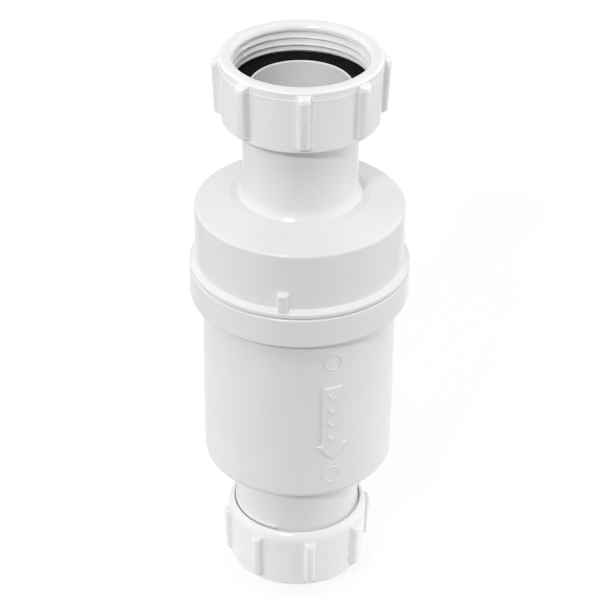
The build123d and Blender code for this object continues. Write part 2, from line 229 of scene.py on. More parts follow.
def addNode(material, kind, values=None, links=None, **settings):
    node = material.node_tree.nodes.new(kind)
    for setting, value in settings.items():
        setattr(node, setting, value)
    for socket, value in (values or {}).items():
        node.inputs[socket].default_value = value
    for socket, source in (links or {}).items():
        material.node_tree.links.new(source, node.inputs[socket])
    return node


def newSurface(name, look):
    # Base colour and roughness drift between two values in soft patches, and a fine grain bumps the surface.
    material = bpy.data.materials.new(name)
    material.use_nodes = True
    surface = material.node_tree.nodes["Principled BSDF"]
    where = addNode(material, "ShaderNodeTexCoord").outputs["Object"]
    stretched = addNode(material, "ShaderNodeMapping", {"Scale": look.get("stretch", (1, 1, 1))},
                        {"Vector": where}).outputs[0]
    patches = addNode(material, "ShaderNodeTexNoise", {"Scale": 1 / (look["patch"] * mm), "Detail": 3},
                      {"Vector": where}).outputs["Fac"]
    grain = addNode(material, "ShaderNodeTexNoise", {"Scale": 1 / (look["grain"] * mm), "Detail": 2},
                    {"Vector": stretched}).outputs["Fac"]
    # Sockets 6 and 7 of the mix are its two colours, and socket 0 is the share between them.
    firstColour, secondColour = (fromHex(code) for code in look["colours"])
    colour = addNode(material, "ShaderNodeMix", {6: firstColour, 7: secondColour}, {0: patches},
                     data_type="RGBA").outputs[2]
    # Nearly all of the noise lies between 0.3 and 0.7.
    roughness = addNode(material, "ShaderNodeMapRange",
                        {"From Min": 0.3, "From Max": 0.7, "To Min": look["roughness"][0],
                         "To Max": look["roughness"][1]}, {"Value": patches}).outputs[0]
    bump = addNode(material, "ShaderNodeBump", {"Strength": look["bump"], "Distance": look["depth"] * mm},
                   {"Height": grain}).outputs[0]
    for socket, source in {"Base Color": colour, "Roughness": roughness, "Normal": bump}.items():
        material.node_tree.links.new(source, surface.inputs[socket])
    for socket, value in look.get("surface", {}).items():
        surface.inputs[socket].default_value = value
    return material


# Injection-moulded polypropylene from a polished tool: waxy white, satin gloss, faint flow clouds.
casingPolypropylene = newSurface("casingPolypropylene", {
    "colours": ("#e6e6e6", "#e9e9e8"), "patch": 14, "grain": 0.9, "bump": 0.1, "depth": 0.02,
    "roughness": (0.22, 0.26), "surface": {"IOR": 1.49}})
# The nuts come from another tool, a little brighter and glossier where fingers hold them.
nutPolypropylene = newSurface("nutPolypropylene", {
    "colours": ("#efefef", "#f1f1f0"), "patch": 11, "grain": 0.8, "bump": 0.1, "depth": 0.02,
    "roughness": (0.21, 0.25), "surface": {"IOR": 1.49}})
# Matt moulded polypropylene of the parts inside, where the tool is spark-eroded: a fine even grain. The real
# one is about 0.05 mm, and it is drawn at 0.35 mm.
cagePolypropylene = newSurface("cagePolypropylene", {
    "colours": ("#dcdcda", "#e2e2e0"), "patch": 8, "grain": 0.35, "bump": 0.35, "depth": 0.03,
    "roughness": (0.42, 0.52), "surface": {"IOR": 1.49}})
# Natural acetal, machined or moulded: slightly translucent, cool white and slippery.
naturalAcetal = newSurface("naturalAcetal", {
    "colours": ("#e4e4df", "#eaeae6"), "patch": 6, "grain": 0.4, "bump": 0.1, "depth": 0.02,
    "roughness": (0.3, 0.36), "surface": {"IOR": 1.48, "Subsurface Weight": 0.15,
                                          "Subsurface Radius": (1, 1, 1), "Subsurface Scale": 0.001}})
# Compression-moulded washer rubber: dense black, matt, with a trace of talc. The grain of this and the other
# rubbers is under 0.1 mm, and it is drawn at 0.3 to 0.4 mm.
washerRubber = newSurface("washerRubber", {
    "colours": ("#0b0b0b", "#121212"), "patch": 3, "grain": 0.3, "bump": 0.4, "depth": 0.04,
    "roughness": (0.6, 0.75), "surface": {"IOR": 1.45, "Specular IOR Level": 0.08}})
# Softer black sealing rubber with a satin skin from the mould.
sealRubber = newSurface("sealRubber", {
    "colours": ("#191919", "#212121"), "patch": 4, "grain": 0.35, "bump": 0.35, "depth": 0.03,
    "roughness": (0.48, 0.6), "surface": {"IOR": 1.52}})
# Thin diaphragm rubber, moulded smooth so that it seals: a soft sheen on black.
diaphragmRubber = newSurface("diaphragmRubber", {
    "colours": ("#1d1d1d", "#262626"), "patch": 6, "grain": 0.4, "bump": 0.3, "depth": 0.03,
    "roughness": (0.4, 0.52), "surface": {"IOR": 1.52}})
# Turned stainless steel: rings of tool marks round the stem. They are 0.1 mm apart, and drawn at 0.25 mm.
turnedSteel = newSurface("turnedSteel", {
    "colours": ("#bdbcb9", "#c6c5c2"), "patch": 5, "grain": 0.5, "stretch": (0.15, 0.15, 2), "bump": 0.3,
    "depth": 0.02, "roughness": (0.29, 0.36), "surface": {"Metallic": 1}})
# Drawn stainless wire: bright, with die lines, which are drawn coarser than the real ones.
drawnSteel = newSurface("drawnSteel", {
    "colours": ("#b3b2ae", "#bdbcb8"), "patch": 4, "grain": 0.4, "stretch": (0.4, 0.4, 2), "bump": 0.25,
    "depth": 0.02, "roughness": (0.28, 0.34), "surface": {"Metallic": 1}})
print("materials ready:", len(bpy.data.materials))


# The nuts: a turned wall whose radius swells into grips, with the thread cut inside.

def gripProfile(grip):
    # Half of a grip's cross-section, as (across, stand) points: a well rounded crown, its foot, and two
    # points on the bare wall.
    half, stand, power = grip["width"] / 2, grip["stand"], 2 / grip["squareness"]
    crown = [(half * cos(turn) ** power, stand * sin(turn) ** power)
             for turn in np.linspace(pi / 2, radians(3), 16)[1:]]
    return [(0, stand)] + crown + [(half + 0.06, 0.08), (half + 0.3, 0), (half + 1.4, 0)]


def gripHeights(grip):
    # The grip from end to end, as (height, stand) points: a short heel below, a long slope above, and a
    # point on the bare wall beyond each.
    low, high, heel, stand = grip["low"], grip["high"], grip["heel"], grip["stand"]
    lower = arc((low + heel, 0), (heel, stand - grip["draft"]), 180, 90, 7)
    upper = arc((high - grip["slope"], 0), (grip["slope"], stand), 90, 0, 8)
    return [(low - heel, 0)] + lower + upper + [(high + 0.25, 0)]


def gripAngles(grip, wallRadius, spacing=radians(1.7)):
    # Azimuths for the turned mesh: close together on each grip's edges, even in between.
    loops = [atan2(across, wallRadius + stand) for across, stand in gripProfile(grip)]
    step = 2 * pi / grip["count"]
    between = np.linspace(loops[-1], step - loops[-1], round((step - 2 * loops[-1]) / spacing) + 1)[1:-1]
    oneGrip = [-loop for loop in reversed(loops[1:])] + loops + between.tolist()
    return [radians(grip["azimuth"]) + turn * step + loop for turn in range(grip["count"]) for loop in oneGrip]


def gripStand(grip, wallRadius, height, angle):
    # How far a grip stands out of the wall at this height and azimuth.
    profile = gripProfile(grip)
    loops = [atan2(across, wallRadius + stand) for across, stand in profile]
    shares = [stand / grip["stand"] for _, stand in profile]
    step = 2 * pi / grip["count"]
    away = np.abs((angle - radians(grip["azimuth"]) + step / 2) % step - step / 2)
    heights, stands = zip(*gripHeights(grip))
    return np.interp(height, heights, stands) * np.interp(away, loops, shares)


def wallWithGrips(lower, upper, grip, clearance=0.05):
    # Points up the outer wall, with one at each height where the grips change, clear of the wall's corners.
    heights = [height for height, _ in gripHeights(grip)
               if lower[1] + clearance < height < upper[1] - clearance]
    slope = (upper[0] - lower[0]) / (upper[1] - lower[1])
    return [(lower[0] + slope * (height - lower[1]), height) for height in heights]


inletNut = {
    "foot": 158.7, "top": 178.3, "lipBore": 17.4, "lipTop": 162.6, "pocket": 20.8, "pocketTop": 169.6,
    "footRadius": 23.25, "wallRadius": 23.65, "bandRadius": 23.76,
    "lineRadius": 23.88, "lineHeight": 175.3, "lineHalf": 0.2,  # the fine line round the top of the wall
    "rimRadius": 23.9, "rimRound": 0.85, "rimWidth": 1.7, "lipRadius": 19.65, "lipRound": 1.5, "lipWidth": 1.1,
    "threadMean": 20.2, "threadDepth": 0.6, "crestHeight": 176.35, "crestAzimuth": 180,
    "threadStations": (176.7, 169.63, 0.12),  # first height, last height and step
    "threadFade": 0.5, "lipFade": 0.9,  # it fades into the pocket below and the plain lip above
    "gripsBeyond": 22.8,  # everything outside this radius swells into the grips
    "grip": {"count": 8, "azimuth": 2.2, "width": 3.9, "stand": 2.25, "draft": 0.35, "heel": 0.75,
             "slope": 1.2, "squareness": 2.8, "low": 160.15, "high": 177.2}}


def inletNutRadius(radius, height, angle):
    nut = inletNut
    wave = threadWave(height, angle, nut["crestHeight"], nut["crestAzimuth"])
    fade = np.clip((height - nut["pocketTop"]) / nut["threadFade"], 0, 1)
    thread = nut["threadMean"] - fade * nut["threadDepth"] * wave
    runOut = np.clip((nut["threadStations"][0] - height) / nut["lipFade"], 0, 1)
    thread = nut["lipRadius"] + (thread - nut["lipRadius"]) * runOut
    isThread = onRadius(radius, nut["threadMean"]) & (height > nut["pocketTop"])
    isThread &= height < nut["top"] - nut["lipRound"]
    inner = np.where(isThread, thread, radius)
    grips = gripStand(nut["grip"], nut["wallRadius"], height, angle)
    return np.where(radius > nut["gripsBeyond"], inner + grips, inner)


def inletNutOutline():
    nut = inletNut
    rimFoot, lipFoot = nut["top"] - nut["rimRound"], nut["top"] - nut["lipRound"]
    rim, lip = (nut["rimWidth"], nut["rimRound"]), (nut["lipWidth"], nut["lipRound"])
    foot, wall = (nut["footRadius"], nut["foot"]), (nut["wallRadius"], nut["lineHeight"] - nut["lineHalf"])
    band, bandTop = (nut["bandRadius"], nut["lineHeight"] + nut["lineHalf"]), (nut["bandRadius"], rimFoot)
    return rounded([
        (nut["lipBore"], nut["foot"], 0.3), (*foot, 0.7), *wallWithGrips(foot, wall, nut["grip"]),
        wall, (nut["lineRadius"], nut["lineHeight"]), band, *wallWithGrips(band, bandTop, nut["grip"]),
        *arc((nut["rimRadius"] - nut["rimWidth"], rimFoot), rim, 0, 90, 10),
        *arc((nut["lipRadius"] + nut["lipWidth"], lipFoot), lip, 90, 180, 10, 1.5),
        *stations(nut["threadMean"], *nut["threadStations"]), (nut["pocket"], nut["pocketTop"]),
        (nut["pocket"], nut["lipTop"], 0.4), (nut["lipBore"], nut["lipTop"], 0.2)])


makePiece("inletNutShell", [turned(inletNutOutline(), gripAngles(inletNut["grip"], inletNut["wallRadius"]),
                                   inletNutRadius)],
          nutPolypropylene, "inlet_swivel", ["inlet_nut"])

outletNut = {
    "top": 20.3, "lipBore": 17.8, "lipTop": 2.2, "bore": 20.2, "footRadius": 21.8, "wallRadius": 22.2,
    "rimMiddle": 20.5, "rimRound": 3.0, "mouthRound": 0.35,
    "threadDepth": 0.5, "threadLow": 9.0, "threadTop": 18.9, "crestHeight": 20.6, "crestAzimuth": -17,
    "threadStations": (19.7, 8.8, 0.14),  # first height, last height and step
    "threadFade": 0.9, "gripsBeyond": 21.5,
    "grip": {"count": 8, "azimuth": 11.0, "width": 3.4, "stand": 1.8, "draft": 0.3, "heel": 0.75,
             "slope": 1.0, "squareness": 2.5, "low": 1.55, "high": 17.0}}


def outletNutRadius(radius, height, angle):
    nut = outletNut
    wave = (1 + threadWave(height, angle, nut["crestHeight"], nut["crestAzimuth"])) / 2
    fade = np.clip((nut["threadTop"] - height) / nut["threadFade"], 0, 1)
    fade = fade * np.clip((height - nut["threadLow"]) / nut["threadFade"], 0, 1)
    inner = np.where(onRadius(radius, nut["bore"]), radius - nut["threadDepth"] * fade * wave, radius)
    grips = gripStand(nut["grip"], nut["wallRadius"], height, angle)
    return np.where(radius > nut["gripsBeyond"], inner + grips, inner)


def outletNutOutline():
    nut = outletNut
    rimFoot, mouth = nut["top"] - nut["rimRound"], nut["mouthRound"]
    rim = nut["wallRadius"] - nut["rimMiddle"], nut["rimRound"]
    foot, wall = (nut["footRadius"], 0), (nut["wallRadius"], rimFoot)
    return rounded([
        (nut["lipBore"], 0, 0.3), (*foot, 0.7), *wallWithGrips(foot, wall, nut["grip"]),
        *arc((nut["rimMiddle"], rimFoot), rim, 0, 90, 16, 1.25),
        *arc((nut["bore"] + mouth, nut["top"] - mouth), mouth, 110, 175, 4),
        *stations(nut["bore"], *nut["threadStations"]),
        (nut["bore"], nut["lipTop"], 0.25), (nut["lipBore"], nut["lipTop"], 0.25)])


makePiece("outletNutShell", [turned(outletNutOutline(), gripAngles(outletNut["grip"], outletNut["wallRadius"]),
                                    outletNutRadius)],
          nutPolypropylene, "outlet_screw", ["outlet_nut"])
print("nuts ready")


# The cap: neck, sloped shoulder, flange ring, skirt with its seal groove, seat tube and one index tab.

inletCap = {
    "wallRadius": 31.5,
    "tab": {"azimuth": -8.3, "width": 3.4, "low": 110.3, "top": 117.1, "face": 33.15, "round": 0.7},
    "skirt": [  # from the seat tube down round the skirt and up to the foot of the outer wall
        (14.3, 112.0, 0.4), (16.5, 112.0, 0.5), (16.5, 130.75, 1.2), (29.1, 127.0, 1.2), (29.1, 111.7, 0.5),
        (27.9, 110.7, 0.4), (27.9, 105.8, 0.2), (30.6, 105.8, 0.25), (30.6, 106.5, 0.08), (29.1, 106.5, 0.1),
        (29.1, 108.4, 0.1), (30.6, 108.4, 0.08), (30.6, 109.4, 0.1), (33.3, 109.4, 0.3), (33.3, 110.7, 0.3),
        (31.5, 111.7, 0.22), (31.5, 112.1)],
    "shoulder": [  # from the top of that wall over the shoulder and the neck into the bore
        (31.5, 129.6, 1.0), (20.9, 133.0, 1.0), *arc((23.1, 137.2), 6.0, 220, 180, 10),
        (17.1, 162.9, 0.3), (20.0, 162.9, 0.3), (20.0, 166.3, 0.3), (15.15, 166.3, 0.15), (15.15, 169.0, 0.36),
        (14.3, 169.0, 0.36)]}


def tabWalls():
    # (height, stand) and (across, stand) points of the tab, measured from the cap's wall. Each ends on the
    # bare wall beside the tab, so that the tab's shading ends there too.
    tab, stand = inletCap["tab"], inletCap["tab"]["face"] - inletCap["wallRadius"]
    top, half = tab["top"], tab["width"] / 2
    upright = rounded([(tab["low"], stand), (top - 0.06, stand, tab["round"]), (top, 0.1, 0.08),
                       (top + 0.4, 0), (top + 0.6, 0)], closed=False)
    sideways = rounded([(0, stand), (half - 0.08, stand, tab["round"]), (half + 0.03, 0, 0.12),
                        (half + 0.5, 0)], closed=False)
    return upright, sideways


def capRadius(radius, height, angle):
    tab, wall = inletCap["tab"], inletCap["wallRadius"]
    upright, sideways = tabWalls()
    heights, stands = zip(*upright)
    across, shares = zip(*sideways)
    away = np.abs((angle - radians(tab["azimuth"]) + pi) % (2 * pi) - pi) * tab["face"]
    face = wall + np.interp(height, heights, stands) * np.interp(away, across, shares) / shares[0]
    isOuter = (radius > wall - 0.1) & (height > heights[0]) & (height < heights[-1])
    return np.where(isOuter, np.maximum(radius, face), radius)


def capOutline():
    tabHeights = [(inletCap["wallRadius"], height) for height, _ in tabWalls()[0][1:]]
    return rounded(inletCap["skirt"] + tabHeights + inletCap["shoulder"])


def capAngles():
    tab = inletCap["tab"]
    loops = [across / tab["face"] for across, _ in tabWalls()[1]]
    mirrored = [-loop for loop in reversed(loops[1:])]
    rest = np.linspace(loops[-1], 2 * pi - loops[-1], len(plainAngles))[1:-1].tolist()
    return [radians(tab["azimuth"]) + loop for loop in mirrored + loops + rest]


makePiece("inletCapShell", [turned(capOutline(), capAngles(), capRadius)],
          casingPolypropylene, "casing", ["inlet_cap"])

# The body: collar, cylinder, floor, and the outlet neck with its socket. The thread runs out on the neck.

valveBody = {
    "wallRadius": 29.45, "neckRadius": 19.45, "neckEdge": (19.1, 6.2, 0.15),
    "threadStations": (7.4, 23.6, 0.13),  # first height, last height and step
    "threadStand": 0.6, "threadHalf": 0.95, "threadFlanks": 1.18,  # flanks over 1 leave a flat on the crest
    "threadLow": 8.2, "threadFade": 1.2, "threadEnd": 20.9, "threadEndAzimuth": -17, "threadEndSweep": 3,
    "outline": [  # from the foot of the cylinder up over the collar, and down inside to the socket
        (19.45, 40.4, 0.8), (29.45, 40.4, 2.6), (29.45, 99.3, 0.25), (33.3, 99.3, 0.6), (33.3, 109.0, 0.7),
        (30.9, 109.0, 0.25), (30.9, 101.5, 0.3), (27.45, 101.5, 0.3), (27.45, 42.8, 1.2), (15.5, 42.8, 0.5),
        (15.5, 27.5, 0.2), (17.55, 27.5, 0.3), (17.55, 8.9, 0.2)]}


def bodyRadius(radius, height, angle):
    part = valveBody
    around = angle - radians(part["threadEndAzimuth"])
    turns = (height - part["threadEnd"]) / threadPitch - around / (2 * pi)
    wholeTurns = np.round(turns)
    away = np.abs(turns - wholeTurns) * threadPitch
    wound = around + wholeTurns * 2 * pi  # 0 where the thread ends, and below 0 down the thread
    fade = np.clip(-wound / radians(part["threadEndSweep"]), 0, 1)
    fade = fade * np.clip((height - part["threadLow"]) / part["threadFade"], 0, 1)
    ridge = np.clip(part["threadFlanks"] * (1 - away / part["threadHalf"]), 0, 1) * part["threadStand"] * fade
    return np.where(onRadius(radius, part["neckRadius"]), radius + ridge, radius)


bodyOutline = rounded([valveBody["neckEdge"], *stations(valveBody["neckRadius"], *valveBody["threadStations"]),
                       *valveBody["outline"]])
makePiece("valveBodyShell", [turned(bodyOutline, radiusAt=bodyRadius)],
          casingPolypropylene, "casing", ["valve_body"])

# Raised marks in the body's mould: a flow arrow with plain chevrons on it, and two witness rings.

flowArrow = {
    "azimuth": 20.8, "tip": 54.9, "neck": 60.5, "tail": 81.7, "head": 10.3, "shaft": 6.2, "stand": 0.65,
    "sunk": 0.3, "bevel": 0.42, "facet": 0.9,
    "chevrons": 4, "chevronGap": 1.2, "chevronStep": 5.0, "chevronWidth": 3.2, "chevronStroke": 1.26,
    "chevronStand": 0.25, "chevronSunk": 0.1, "chevronBevel": 0.14}
onBody = onWall(flowArrow["azimuth"], valveBody["wallRadius"])
halfHead, halfShaft = flowArrow["head"] / 2, flowArrow["shaft"] / 2
arrowOutline = [(0, flowArrow["tip"]), (halfHead, flowArrow["neck"]), (halfShaft, flowArrow["neck"]),
                (halfShaft, flowArrow["tail"]), (-halfShaft, flowArrow["tail"]),
                (-halfShaft, flowArrow["neck"]), (-halfHead, flowArrow["neck"])]
arrowShapes = [slab(arrowOutline, -flowArrow["sunk"], flowArrow["stand"], flowArrow["bevel"], onBody,
                    facet=flowArrow["facet"])]
for chevron in range(flowArrow["chevrons"]):
    low = flowArrow["neck"] + flowArrow["chevronGap"] + chevron * flowArrow["chevronStep"]
    half, stroke = flowArrow["chevronWidth"] / 2, flowArrow["chevronStroke"]  # the stroke is measured upright
    outline = [(0, low), (half, low + half), (half, low + half + stroke), (0, low + stroke),
               (-half, low + half + stroke), (-half, low + half)]
    arrowShapes.append(slab(outline, flowArrow["stand"] - flowArrow["chevronSunk"],
                            flowArrow["stand"] + flowArrow["chevronStand"], flowArrow["chevronBevel"], onBody,
                            facet=flowArrow["facet"]))
makePiece("flowArrow", arrowShapes, casingPolypropylene, "casing", sharpAngle=12)

witnessRings = {"radius": 2.65, "width": 0.55, "crownWidth": 0.385, "stand": 0.25, "sunk": 0.2, "round": 0.12,
                "heights": (49.1, 90.5), "sides": 56}
ringShapes = []
for height in witnessRings["heights"]:
    middle, half, crown = witnessRings["radius"], witnessRings["width"] / 2, witnessRings["crownWidth"] / 2
    section = rounded([(middle - half, -witnessRings["sunk"]), (middle + half, -witnessRings["sunk"]),
                       (middle + crown, witnessRings["stand"], witnessRings["round"]),
                       (middle - crown, witnessRings["stand"], witnessRings["round"])])
    points, faces = turned(section, np.linspace(2 * pi, 0, witnessRings["sides"], endpoint=False))
    ringShapes.append(([onBody(x, height - y, stand) for x, y, stand in points], faces))
makePiece("witnessRings", ringShapes, casingPolypropylene, "casing")
print("casing ready")


# Rubber and the small rings that clamp or carry it.

inletWasher = {"outline": [(15.2, 166.3, 0.25), (20.5, 166.3, 0.25), (20.5, 169.3, 0.3), (15.2, 169.3, 0.3)]}
makePiece("inletWasherRing", [turned(rounded(inletWasher["outline"]))],
          washerRubber, "casing", ["inlet_washer"])

outletSeal = {"outline": [(17.45, 3.2, 0.2), (19.8, 3.2, 0.3), (19.8, 5.9, 0.3), (18.8, 5.9, 0.1),
                          (18.3, 7.0, 0.12), (18.0, 7.3, 0.12), (17.45, 7.3, 0.15)]}
makePiece("outletSealCone", [turned(rounded(outletSeal["outline"]))],
          sealRubber, "outlet_seal_set", ["outlet_seal"])

slipRing = {"outline": [(17.6, 2.2, 0.12), (19.8, 2.2, 0.2), (19.8, 3.2, 0.2), (17.6, 3.2, 0.12)]}
makePiece("slipRingWasher", [turned(rounded(slipRing["outline"]))],
          naturalAcetal, "outlet_seal_set", ["slip_ring"])

beadRing = {"outline": [(27.9, 105.1, 0.15), (30.6, 105.1, 0.15), (30.6, 105.8, 0.15), (27.9, 105.8, 0.15)]}
makePiece("beadRing", [turned(rounded(beadRing["outline"]))],
          naturalAcetal, "casing", ["bead_ring"])

casingSeal = {"radius": 30.0, "height": 107.45, "section": 0.85, "sides": 19}
sealSection = arc((casingSeal["radius"], casingSeal["height"]), casingSeal["section"], 0, 360,
                  casingSeal["sides"] + 1)[:-1]
makePiece("casingSealRing", [turned(sealSection)], sealRubber, "casing", ["casing_seal"])

# The diaphragm: a clamped bead, a conical web with windows for the water, and a thick face for the seat.

diaphragm = {
    "windows": 6, "firstWindow": 90, "halfAngle": 19, "inner": 20.5, "outer": 25.4, "windowRound": 1.0,
    "cutHeights": (101, 114),  # the cutters pass right through the web
    "fixedHeight": 105.1, "movingHeight": 109.6,  # the top of the clamped bead and the underside of the moving face
    "outline": [
        (2.55, 109.6, 0.2), (18.2, 109.6, 0.3), (18.2, 110.25, 0.3), (27.7, 103.45, 0.4), (27.7, 102.9, 0.15),
        (30.6, 102.9, 0.35), (30.6, 105.1, 0.35), (27.7, 105.1, 0.3), (27.7, 104.55, 0.4), (18.2, 111.35, 0.5),
        (18.2, 112.0, 0.3), (2.55, 112.0, 0.2)]}


def diaphragmWindows():
    half, corner = radians(diaphragm["halfAngle"]), diaphragm["windowRound"]
    steps = np.linspace(-half, half, 7)
    outer = [(diaphragm["outer"] * sin(turn), diaphragm["outer"] * cos(turn)) for turn in steps]
    inner = [(diaphragm["inner"] * sin(turn), diaphragm["inner"] * cos(turn)) for turn in reversed(steps)]
    outline = rounded([(*outer[0], corner), *outer[1:-1], (*outer[-1], corner),
                       (*inner[0], corner), *inner[1:-1], (*inner[-1], corner)])
    windows = []
    for window in range(diaphragm["windows"]):
        turn = radians(diaphragm["firstWindow"] + window * 360 / diaphragm["windows"])
        place = lambda u, v, h, s=sin(turn), c=cos(turn): (v * s + u * c, -v * c + u * s, h)
        windows.append(slab(outline, *diaphragm["cutHeights"], 0, place))
    return windows


membrane = makePiece("diaphragmMembrane", [turned(rounded(diaphragm["outline"]))], diaphragmRubber, None,
                     ["diaphragm"], [("DIFFERENCE", diaphragmWindows())])
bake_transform(membrane)

# The closing disc: dome, ribbed backing plate, steel stem and its open clip.

discNose = {"radius": 12.2, "foot": 112.0, "rim": 113.4, "top": 118.5, "bore": 2.55, "boreTop": 116.05}


def noseOutline():
    part = discNose
    rise = part["top"] - part["rim"]
    domeRadius = (part["radius"] ** 2 + rise ** 2) / (2 * rise)
    edgeAngle = acos(1 - rise / domeRadius) * 0.985  # the dome starts just inside the rim's edge
    dome = [(domeRadius * sin(turn), part["top"] - domeRadius * (1 - cos(turn)))
            for turn in np.linspace(edgeAngle, 0, 24)]
    return rounded([(part["bore"], part["foot"], 0.1), (part["radius"], part["foot"], 0.25),
                    (part["radius"], part["rim"] - 0.15), *dome, (0, part["boreTop"]),
                    (part["bore"], part["boreTop"], 0.15)])


makePiece("discNose", [turned(noseOutline())], cagePolypropylene, "closing_disc", ["disc_nose"])

backingPlate = {
    "outline": [(2.55, 104.7, 0.15), (4.8, 104.7, 0.3), (4.8, 107.2, 0.3), (16.2, 107.2, 0.5),
                (16.2, 109.6, 0.25), (2.55, 109.6, 0.15)],
    "ribs": 6, "ribWidth": 1.2, "ribBevel": 0.15,
    "rib": [(6.65, 106.0), (14.6, 107.2), (14.6, 108.4), (6.65, 108.4)]}
plateRibs = [slab(backingPlate["rib"], -backingPlate["ribWidth"] / 2, backingPlate["ribWidth"] / 2,
                  backingPlate["ribBevel"], onAzimuth(rib * 360 / backingPlate["ribs"]), everyEdge=True)
             for rib in range(backingPlate["ribs"])]
makePiece("discBackingPlate", [turned(rounded(backingPlate["outline"]))], cagePolypropylene, "closing_disc",
          ["backing_plate"], [("UNION", plateRibs)])

guideStem = {"outline": [(0, 81.8), (2.5, 81.8, 0.45), (2.5, 84.0, 0.06), (1.9, 84.0, 0.06), (1.9, 84.8, 0.06),
                         (2.5, 84.8, 0.06), (2.5, 116.0, 0.4), (0, 116.0)]}
makePiece("guideStemPin", [turned(rounded(guideStem["outline"]))], turnedSteel, "closing_disc",
          ["guide_stem"])

stemClip = {"outer": 4.3, "inner": 1.95, "mouth": 1.5, "heights": (84.0, 84.8), "bevel": 0.1}
outerMouth, innerMouth = (degrees(np.arcsin(stemClip["mouth"] / stemClip[side])) for side in ("outer", "inner"))
clipOutline = (arc((0, 0), stemClip["outer"], outerMouth, 360 - outerMouth, 40)
               + arc((0, 0), stemClip["inner"], 360 - innerMouth, innerMouth, 24))
makePiece("stemClipRing", [slab(clipOutline, *stemClip["heights"], stemClip["bevel"], lambda u, v, h: (u, v, h),
                                everyEdge=True)], drawnSteel, "closing_disc", ["stem_clip"])
print("closing disc ready")

# What guides the disc: cage, bush and return spring.

guideCage = {
    "hub": [(3.95, 86.0, 0.2), (8.4, 86.0, 0.5), (8.4, 93.0, 0.4), (4.8, 93.0, 0.2), (4.8, 95.5, 0.3),
            (3.95, 95.5, 0.15)],
    "flange": [(26.4, 101.5, 0.3), (30.6, 101.5, 0.2), (30.6, 102.9, 0.2), (26.4, 102.9, 0.3)],
    "ribs": 6, "firstRib": 30, "ribWidth": 1.8, "ribBevel": 0.25, "ribRound": 0.2,
    "rib": [(6.2, 86.0), (27.15, 96.9), (27.15, 102.9), (8.4, 93.0), (6.2, 93.0)]}
cageRibs = [slab(rounded([(*corner, guideCage["ribRound"]) for corner in guideCage["rib"]]),
                 -guideCage["ribWidth"] / 2, guideCage["ribWidth"] / 2, guideCage["ribBevel"],
                 onAzimuth(guideCage["firstRib"] + rib * 360 / guideCage["ribs"]), everyEdge=True)
            for rib in range(guideCage["ribs"])]
makePiece("guideCageMoulding", [turned(rounded(guideCage["hub"]))], cagePolypropylene, "casing",
          ["guide_cage"],
          [("UNION", cageRibs), ("UNION", [turned(rounded(guideCage["flange"]))])])

guideBush = {"outline": [(2.55, 85.2, 0.2), (5.4, 85.2, 0.25), (5.4, 86.0, 0.1), (3.9, 86.0, 0.1),
                         (3.9, 95.5, 0.25), (2.55, 95.5, 0.25)]}
makePiece("guideBushing", [turned(rounded(guideBush["outline"]))], naturalAcetal, "casing",
          ["guide_bush"])

returnSpring = {
    "radius": 5.75, "wire": 0.9, "low": 93.0, "high": 107.2, "endGap": 0.03, "stroke": 7.0,
    "activeTurns": 4.0, "closedTurns": 1.0, "closedPitch": 0.927,  # the wire and a hair more
    "opensAfter": 0.75, "opensOver": 0.5,  # turns from the end, and turns that the change of pitch takes
    "sides": 12, "perTurn": 48}


def springShape():
    # A coil with a closed turn at each end. Its pitch opens and closes smoothly.
    spring = returnSpring
    wire, turns = spring["wire"] / 2, spring["activeTurns"] + 2 * spring["closedTurns"]
    turn = np.linspace(0, turns, round(turns * spring["perTurn"]) + 1)
    fromEnd = np.minimum(turn, turns - turn)
    opening = np.clip((fromEnd - spring["opensAfter"]) / spring["opensOver"], 0, 1)
    opening = opening ** 2 * (3 - 2 * opening)
    rise = spring["high"] - spring["low"] - spring["wire"] - 2 * spring["endGap"]
    step = turn[1] - turn[0]
    openPitch = (rise - spring["closedPitch"] * turns) / (np.sum(opening[:-1] + opening[1:]) / 2 * step)
    pitch = spring["closedPitch"] + openPitch * opening
    climbed = np.concatenate(([0], np.cumsum((pitch[:-1] + pitch[1:]) / 2 * step)))
    height = spring["low"] + wire + spring["endGap"] + climbed
    angle = 2 * pi * turn
    around = np.linspace(0, 2 * pi, spring["sides"], endpoint=False)
    radius = spring["radius"] + wire * np.cos(around)[None]
    points = np.stack([radius * np.sin(angle)[:, None], -radius * np.cos(angle)[:, None],
                       height[:, None] + wire * np.sin(around)[None]], -1)
    rows, sides = len(turn), spring["sides"]
    faces = [[row * sides + side, (row + 1) * sides + side, (row + 1) * sides + (side + 1) % sides,
              row * sides + (side + 1) % sides] for row in range(rows - 1) for side in range(sides)]
    faces += [list(range(sides)), [(rows - 1) * sides + side for side in reversed(range(sides))]]
    return points.reshape(-1, 3).tolist(), faces


coil = makePiece("returnSpringCoil", [springShape()], drawnSteel, "casing", ["return_spring"])
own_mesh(coil)
print("cage and spring ready")

# Studio: a grey table with a round white sheet and a white card on it, two small keys and a soft high box in
# front, and large boxes all round. The table lies low enough for the outlet nut to unscrew above it.

